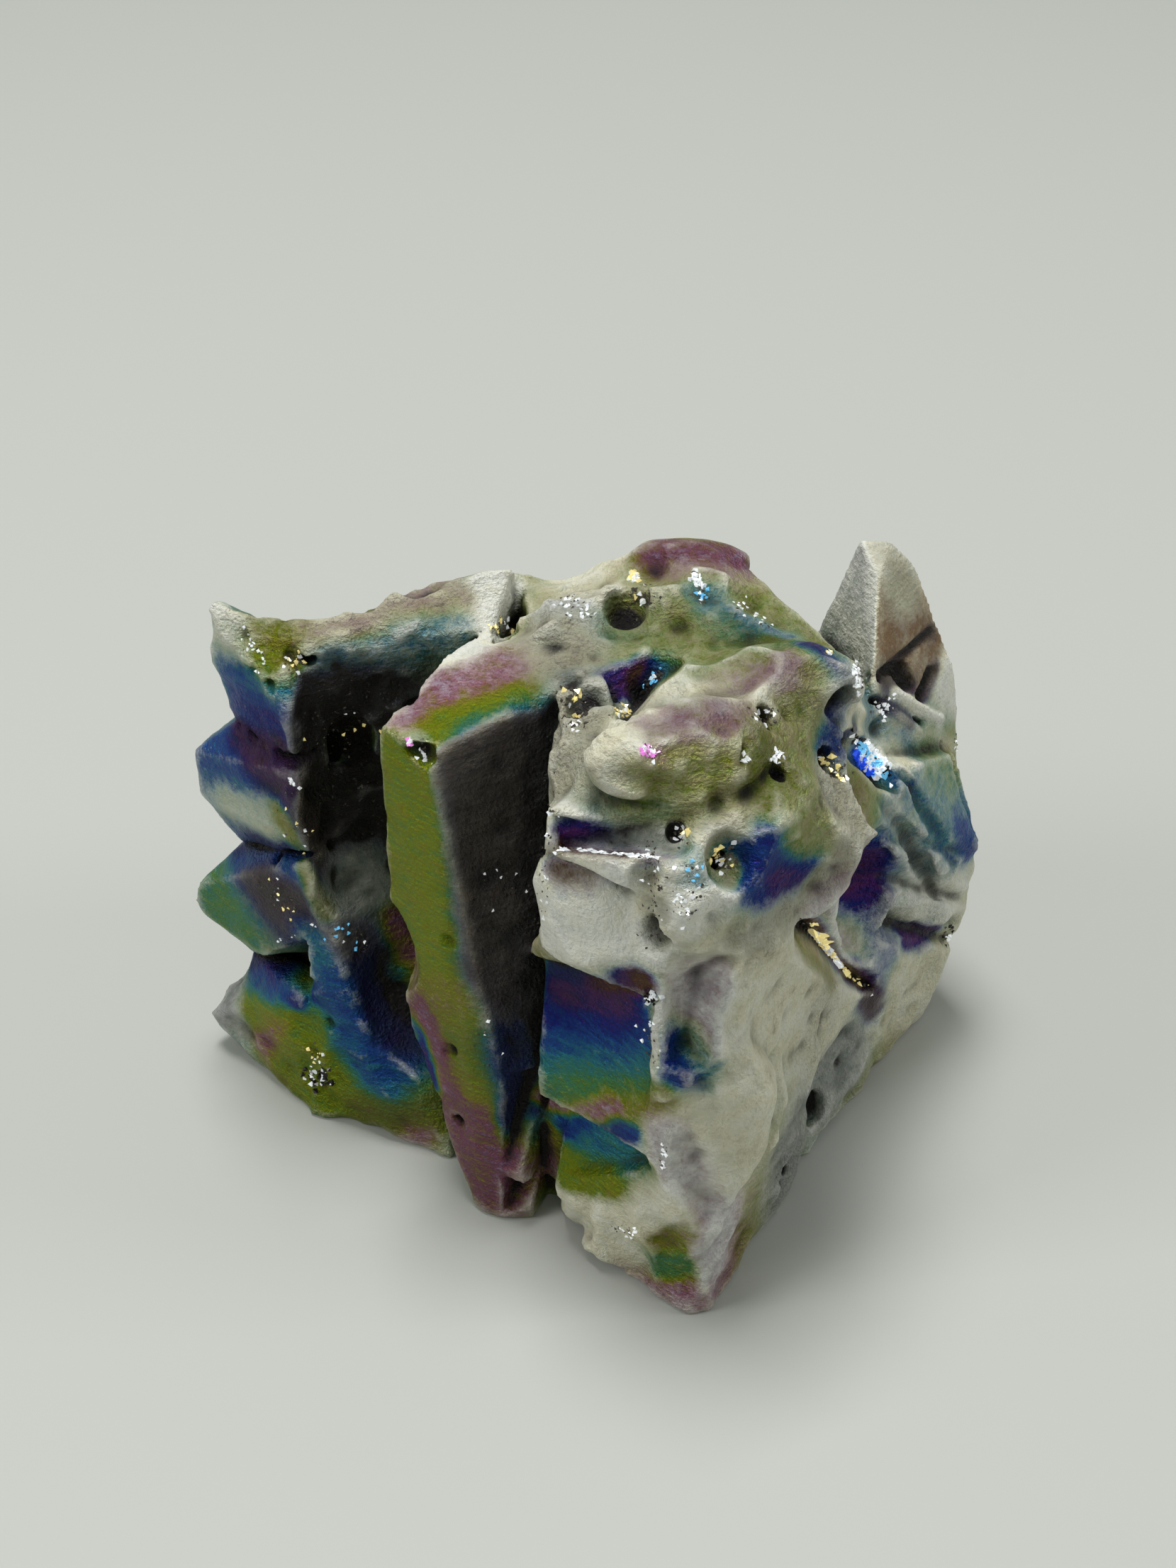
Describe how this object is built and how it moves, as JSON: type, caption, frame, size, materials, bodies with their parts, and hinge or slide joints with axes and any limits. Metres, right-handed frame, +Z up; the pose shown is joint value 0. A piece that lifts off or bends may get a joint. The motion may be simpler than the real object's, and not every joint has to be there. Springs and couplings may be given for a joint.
{
  "type": "stone dragon head carving",
  "caption": "Carved stone dragon head lying on its cheek: open toothed mouth, plate tongue, ear horn, swept mane and crystal pits under a rainbow metallic coating.",
  "frame": {"origin": "centre of the carving's box, on the flat face that it lies on", "axes": "+Z up from the resting face; +X from the lower jaw towards the mane; -Y towards the tip of the nose"},
  "size_m": [0.0738, 0.054, 0.0538],
  "materials": {
    "coated_sphalerite": "carved sphalerite under a thin rainbow metallic coating, satin, with glinting crystal pits"
  },
  "bodies": {
    "root": {"dragon_head": "coated_sphalerite"}
  },
  "joints": []
}
